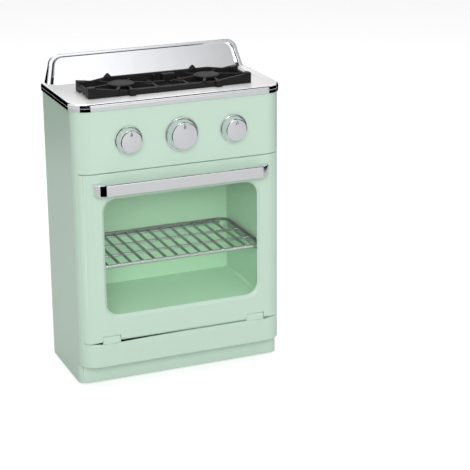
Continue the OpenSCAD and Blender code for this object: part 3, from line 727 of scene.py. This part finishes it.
def make_cabinet():
    mesh = flat_faced("cabinet_shell")

    def outside(x, y, z):
        at_corner = y < CORNER_DEPTH and abs(x) > body_w / 2 - CORNER_WIDTH
        return z < body_top - 1 and (y < FRONT_DEPTH or at_corner)

    rounded = round_edges(mesh, LIP, steps=3, least_angle=40, wanted=outside)
    print("rounded", rounded, "edges of the cabinet")
    as_piece("cabinet", mesh, mint, "cabinet", ["cabinet_shell"])


make_cabinet()

# %% [markdown]
# The door has the same lip along its top, and a finer one round the bevel of
# its window. The window's edges are found by the pane's own box, a little
# larger, because the pane fills the window.

# %% Round the door and its window
SOFT_EDGE = 0.5
LIP_DEPTH = 2.5
WINDOW_DEPTH = 2.7


def window_edge():
    """A rule for the edges round the window: they lie in the pane's box, or a millimetre off it."""
    low, high = size_mm("window_pane")
    return lambda x, z: low.x - 1 < x < high.x + 1 and low.z - 1 < z < high.z + 1


def make_door():
    mesh = flat_faced("door_front")
    top = size_mm("door_front")[1].z
    at_window = window_edge()

    def on_top(x, y, z):
        return y < LIP_DEPTH and z > top - 1

    def on_bevel(x, y, z):
        return y < WINDOW_DEPTH and at_window(x, z)

    rounded = round_edges(mesh, LIP, steps=3, least_angle=40, wanted=on_top)
    rounded += round_edges(mesh, SOFT_EDGE, steps=2, least_angle=25, wanted=on_bevel)
    print("rounded", rounded, "edges of the door")
    as_piece("door", mesh, mint, "door", ["door_front"])


make_door()

# %% [markdown]
# ## The cooktop
# The plated parts are where the shape is judged, because a mirror shows every
# facet, so their edges get several steps of rounding. The deck is the same
# plating, but so many small waves lie in that large flat face that it mirrors
# nothing clearly. It looks duller and whiter than the rims, so it gets a satin
# finish of its own that is only partly metal.

# %% Round the backsplash and lay the satin deck
HAIR = 0.1
PLATE_EDGE = 0.5
SPLASH_FOOT = 3.5
SPLASH_DEPTH = 14
DECK_RISE = (0.5, 4)
LEVEL = 0.96

satin = finish(
    "satin_plating",
    (0.90, 0.90, 0.895),
    (0.92, 0.92, 0.915),
    {
        "Roughness": 0.36,
        "Smudge": 0.10,
        "Grain depth": 0.02,
        "Wave size": 40.0,
        "Wave depth": 0.10,
    },
    {"Metallic": 0.30},
)


def make_cooktop():
    mesh = flat_faced("cooktop")

    def on_backsplash(x, y, z):
        return z > body_top + SPLASH_FOOT and body_d - SPLASH_DEPTH < y < body_d - HAIR

    rounded = round_edges(mesh, PLATE_EDGE, steps=5, least_angle=55, wanted=on_backsplash)
    print("rounded", rounded, "edges of the backsplash")
    back = at(0, size_mm("cooktop")[1].y, 0).y
    for vert in mesh.verts:
        vert.co.y = min(vert.co.y, back)
    piece = as_piece(
        "cooktop_plate", mesh, plating, "cabinet", ["cooktop"], sharp=20
    )
    piece.data.materials.append(satin)
    lowest, highest = (body_top + rise for rise in DECK_RISE)
    for face in piece.data.polygons:
        if face.normal.z > LEVEL and lowest < face.center.z / MM < highest:
            face.material_index = 1


make_cooktop()

# %% [markdown]
# ## The handle
# The handle is a flat bar on two legs, bent from one plated moulding. The upper
# and the lower edge of its bar are rounded so widely that they mirror the
# studio as two thin lines.

# %% Round the handle's bar
BAR_EDGE = 1.35
BAR_DEPTH = -0.2


def make_handle():
    mesh = flat_faced("door_handle")
    low, high = size_mm("door_handle")

    def on_bar(x, y, z):
        return y < BAR_DEPTH and (z < low.z + HAIR or z > high.z - HAIR)

    rounded = round_edges(mesh, BAR_EDGE, steps=6, least_angle=30, wanted=on_bar)
    print("rounded", rounded, "edges of the handle")
    as_piece("handle_bar", mesh, plating, "door", ["door_handle"])


make_handle()

# %% [markdown]
# ## The knobs
# Each knob is a plated cap: a thin flange, a side that tapers a little and a
# face that is domed so slightly that it only shows in its reflections. Such
# round things are turned from one outline, as on a lathe, and the outline's
# corners are arcs, so that the chrome bends its reflections smoothly.

# %% Turn a shape from its outline
ON_AXIS = 1e-6


def arc(x, z, radius, start, end, steps):
    """Points on an arc, in degrees, for an outline drawn in x and z."""
    turns = [math.radians(start + (end - start) * i / steps) for i in range(steps + 1)]
    return [(x + radius * math.cos(t), z + radius * math.sin(t)) for t in turns]


def turned(outline, steps, place):
    """A closed bmesh turned from an outline of radius and height.

    place puts (x, y, height) into the scene."""
    mesh = bmesh.new()
    turns = [2 * math.pi * i / steps for i in range(steps)]
    rings = []
    for radius, height in outline:
        spots = [(radius * math.cos(t), radius * math.sin(t)) for t in turns]
        if radius < ON_AXIS:
            spots = [(0, 0)]
        rings.append([mesh.verts.new(place(x, y, height)) for x, y in spots])
    for a, b in zip(rings, rings[1:]):
        for i in range(steps):
            j = (i + 1) % steps
            corners = [a[i % len(a)], a[j % len(a)], b[j % len(b)], b[i % len(b)]]
            mesh.faces.new(list(dict.fromkeys(corners)))
    return mesh


print("a quarter arc of radius 1 ends at", [round(c, 2) for c in arc(0, 0, 1, 0, 90, 4)[-1]])

# %% [markdown]
# The outline starts in the middle of the face, goes out over its rounded edge
# and down to the flange, and comes back inside the cap, which is hollow round
# the socket of its shaft. All heights are counted from the panel.

# %% Draw the knob's outline
KNOB_STEPS = 96
KNOB_HEIGHT = 9.65
KNOB_DOME = 9
DOME_STEPS = 8


def knob_outline(r, h, shaft):
    """Pairs of radius and height for a cap of radius r and height h."""
    foot, face, dome = 0.90 * r, 0.81 * r, KNOB_DOME * r
    flange, lip, edge, fillet, base = 1.9, 0.55, 1.3, 0.9, 0.3
    inside, socket, ceiling, socket_end = face - 1.8, shaft + 1.2, h - 2.6, h - 2.4
    lean = math.degrees(math.asin((face - edge) / dome))
    edge_z = h - dome + math.sqrt(dome**2 - (face - edge) ** 2) - edge
    on_dome = [math.radians(lean * i / DOME_STEPS) for i in range(DOME_STEPS + 1)]
    outline = [(dome * math.sin(a), h - dome + dome * math.cos(a)) for a in on_dome]
    outline += arc(face - edge, edge_z, edge, 90 - lean, 4, 7)
    outline += arc(foot + fillet, flange + fillet, fillet, 184, 270, 5)
    outline += arc(r - lip, flange - lip, lip, 90, 0, 4)
    outline += arc(r - base, base, base, 0, -90, 2)
    outline += [(inside, 0), (inside, ceiling), (socket, ceiling), (socket, 0)]
    outline += [(shaft - 1, 0), (shaft - 1, socket_end), (0, socket_end)]
    return outline


print("a knob's outline has", len(knob_outline(13, KNOB_HEIGHT, 4)), "points")

# %% [markdown]
# A small raised drop on each face marks the setting. It is a row of half-round
# ribs, wide at the head and fine at the tail, and it is sunk a little into the
# dome so that no gap shows.

# %% Shape the drop and make the three knobs
def add_drop(mesh, place, r, h):
    """The raised drop at the top of the face: a round head, and a tail that ends at the edge."""
    dome = KNOB_DOME * r
    head, tail, width, rise, sunk = 0.44 * r, 0.77 * r, 1.35, 0.55, 0.15
    steps, ribs, swelling, fullness, taper_start, taper = 14, 10, 3.2, 1.3, 0.3, 0.8
    rows = []
    for i in range(steps + 1):
        t = i / steps
        along = head - width + (tail - head + width) * t
        head_round = math.sqrt(max(0.0, 1 - (1 - min(1, t * swelling)) ** 2))
        half = width * head_round * (1 - taper * max(0, t - taper_start) / (1 - taper_start))
        base = h - dome + math.sqrt(dome**2 - along**2) - sunk
        row = []
        for k in range(ribs + 1):
            turn = math.pi * k / ribs
            lift = (rise + sunk) * math.sin(turn) * min(1, half / width * fullness)
            row.append(mesh.verts.new(place(-half * math.cos(turn), along, base + lift)))
        rows.append(row)
    for a, b in zip(rows, rows[1:]):
        for k in range(ribs):
            mesh.faces.new((a[k], a[k + 1], b[k + 1], b[k]))
        mesh.faces.new((a[ribs], a[0], b[0], b[ribs]))
    mesh.faces.new(rows[0])
    mesh.faces.new(list(reversed(rows[-1])))


def make_knob(side):
    low, high = size_mm("knob_" + side)
    shaft_low, shaft_high = size_mm("shaft_" + side)
    middle = (low + high) / 2
    r = (high.x - low.x) / 2
    shaft = (shaft_high.x - shaft_low.x) / 2

    def place(x, y, height):
        return at(middle.x + x, high.y - height, middle.z + y)

    mesh = turned(knob_outline(r, KNOB_HEIGHT, shaft), KNOB_STEPS, place)
    add_drop(mesh, place, r, KNOB_HEIGHT)
    weld(mesh)
    as_piece(
        side + "_knob_cap", mesh, plating, side + "_knob", ["knob_" + side]
    )


for side in ("left", "centre", "right"):
    make_knob(side)

# %% [markdown]
# ## The burner grate
# On the toy, both burners and the grate over them are one black moulding that
# imitates cast iron, so no edge on it is sharp. It has too many crossing bars
# to bevel one by one. Remeshing it into small even cells and then letting
# the cells relax rounds every edge and fills every inside corner at once, as
# casting sand does.

# %% Cast the grate
CELL = 0.46
RELAX_ROUNDS = 4


def apply_modifiers(piece):
    """Bakes the modifiers of a piece into its mesh."""
    seen = bpy.context.evaluated_depsgraph_get()
    baked = bpy.data.meshes.new_from_object(piece.evaluated_get(seen))
    piece.modifiers.clear()
    piece.data = baked


def make_grate():
    mesh = bmesh.new()
    mesh.from_mesh(frame["nodes"]["burner_grate"].data)
    name = "burner_grate_casting"
    piece = as_piece(name, mesh, black, "cabinet", ["burner_grate"], sharp=180)
    cells = piece.modifiers.new("cells", "REMESH")
    cells.mode = "VOXEL"
    cells.voxel_size = CELL * MM
    relax = piece.modifiers.new("relax", "SMOOTH")
    relax.factor = 0.5
    relax.iterations = RELAX_ROUNDS
    apply_modifiers(piece)
    piece.data.shade_smooth()
    print("the casting has", len(piece.data.polygons), "cells")


make_grate()

# %% [markdown]
# ## The wire shelf
# The real shelf is bent and welded from bright wire: wires from side to side,
# thinner ones laid over them from front to back, and a rail round three sides.
# The box of the CAD solid gives its size and place, and the wires keep the
# spacing of the solid. Each wire is a tube with round ends, and where two
# wires cross, a small flat bead stands for the weld.

# %% Round wires and weld beads
TUBE_SIDES = 20
BALL_RINGS = 10
BEND_STEPS = 10


def add_ball(mesh, middle, radii):
    """A ball whose three radii can differ, in the oven's millimetres."""
    size = Matrix.Diagonal((*[2 * r * MM for r in radii], 1))
    bmesh.ops.create_uvsphere(
        mesh,
        u_segments=TUBE_SIDES,
        v_segments=BALL_RINGS,
        radius=0.5,
        matrix=Matrix.Translation(at(*middle)) @ size,
    )


def add_tube(mesh, start, end, radius):
    """A straight round wire with round ends."""
    a, b = at(*start), at(*end)
    turn = (b - a).to_track_quat("Z", "Y").to_matrix().to_4x4()
    bmesh.ops.create_cone(
        mesh,
        cap_ends=True,
        segments=TUBE_SIDES,
        radius1=radius * MM,
        radius2=radius * MM,
        depth=(b - a).length,
        matrix=Matrix.Translation((a + b) / 2) @ turn,
    )
    for tip in (start, end):
        add_ball(mesh, tip, (radius, radius, radius))


print("wires have", TUBE_SIDES, "sides")

# %% [markdown]
# The rail is swept: its small round-cornered section is carried along a path
# seen from above, and at every point of the path it faces along the way.

# %% Sweep a section along a path
RAIL = 2.6
RAIL_BEND = 10
RAIL_CORNER = 0.8


def soft_rectangle(width, height, radius, steps=3):
    """Outline of a rectangle with round corners, about its own middle."""
    points = []
    for x, z, start in ((1, 1, 0), (-1, 1, 90), (-1, -1, 180), (1, -1, 270)):
        corner = (x * (width / 2 - radius), z * (height / 2 - radius))
        points += arc(*corner, radius, start, start + 90, steps)
    return points


def sweep(mesh, path, section, z):
    """Carries a section along a path of x and y at height z, and closes both ends."""
    rings = []
    for i, (x, y) in enumerate(path):
        before, after = path[max(i - 1, 0)], path[min(i + 1, len(path) - 1)]
        way = Vector((after[0] - before[0], after[1] - before[1])).normalized()
        rings.append([mesh.verts.new(at(x + way.y * u, y - way.x * u, z + v)) for u, v in section])
    for a, b in zip(rings, rings[1:]):
        for k in range(len(section)):
            j = (k + 1) % len(section)
            mesh.faces.new((a[k], a[j], b[j], b[k]))
    mesh.faces.new(rings[0])
    mesh.faces.new(list(reversed(rings[-1])))


def add_rails(mesh, low, high):
    """The top rail round both sides and the back, and the deep rails under it at the sides."""
    half = high.x - RAIL / 2
    back = high.y - RAIL / 2
    bend = RAIL_BEND - RAIL / 2
    path = [(-half, low.y)]
    path += arc(-half + bend, back - bend, bend, 180, 90, BEND_STEPS)
    path += arc(half - bend, back - bend, bend, 90, 0, BEND_STEPS)
    path += [(half, low.y)]
    sweep(mesh, path, soft_rectangle(RAIL, RAIL, RAIL_CORNER), high.z - RAIL / 2)
    side = soft_rectangle(RAIL, high.z - low.z, RAIL_CORNER)
    for x in (-half, half):
        sweep(mesh, [(x, low.y), (x, high.y - RAIL_BEND)], side, (low.z + high.z) / 2)


print("the rail's section has", len(soft_rectangle(RAIL, RAIL, RAIL_CORNER)), "points")

# %% [markdown]
# The long wires and the rail stand in the oven's shade and mirror mostly dark
# things, so they look much darker than the cross wires. One mirror finish can't
# show that under even light, so they have a darker one. The cross wires are
# made first, and every face that comes after them takes the darker finish.

# %% Weld the shelf
WIRE_R = 1.4
LONG_WIRE_R = 1.3
FRONT_WIRE_R = 1.8
CROSS_WIRES = 4
LONG_WIRES = 13
LONG_WIRE_PITCH = 11.4
LONG_WIRE_MIDDLE = -3.2
CROSS_DROP = 0.5
LONG_RISE = 1.2
BEAD_RISE = 0.8
BEAD_HALF_WIDTH = 1.75
BEAD_HALF_HEIGHT = 1.25

shaded_wire = finish(
    "rack_wire_shaded",
    (0.20, 0.23, 0.21),
    (0.26, 0.29, 0.27),
    {"Roughness": 0.24, "Smudge": 0.10, "Grain size": 1500.0, "Grain depth": 0.05},
    {"Metallic": 1.0},
)


def make_shelf():
    mesh = bmesh.new()
    low, high = size_mm("rack")
    middle_z = (low.z + high.z) / 2
    cross_z, long_z = middle_z - CROSS_DROP, middle_z + LONG_RISE
    front, back = low.y + FRONT_WIRE_R, high.y - WIRE_R
    cross_ys = [front + (back - front) * i / (CROSS_WIRES - 1) for i in range(CROSS_WIRES)]
    first_long = LONG_WIRE_MIDDLE - (LONG_WIRES - 1) / 2 * LONG_WIRE_PITCH
    long_xs = [first_long + i * LONG_WIRE_PITCH for i in range(LONG_WIRES)]
    for y in cross_ys:
        radius = FRONT_WIRE_R if y == front else WIRE_R
        reach = high.x - RAIL / 2 - radius
        if y == cross_ys[-1]:
            reach = high.x - RAIL_BEND + 1
        add_tube(mesh, (-reach, y, cross_z), (reach, y, cross_z), radius)
        for x in long_xs:
            bead = (BEAD_HALF_WIDTH, radius, BEAD_HALF_HEIGHT)
            add_ball(mesh, (x, y, cross_z + BEAD_RISE), bead)
    bright_faces = len(mesh.faces)
    for x in long_xs:
        add_tube(mesh, (x, front, long_z), (x, back, long_z), LONG_WIRE_R)
    add_rails(mesh, low, high)
    piece = as_piece("wire_shelf", mesh, wire, "shelf", ["rack"], sharp=50)
    piece.data.materials.append(shaded_wire)
    for face in piece.data.polygons[bright_faces:]:
        face.material_index = 1


make_shelf()
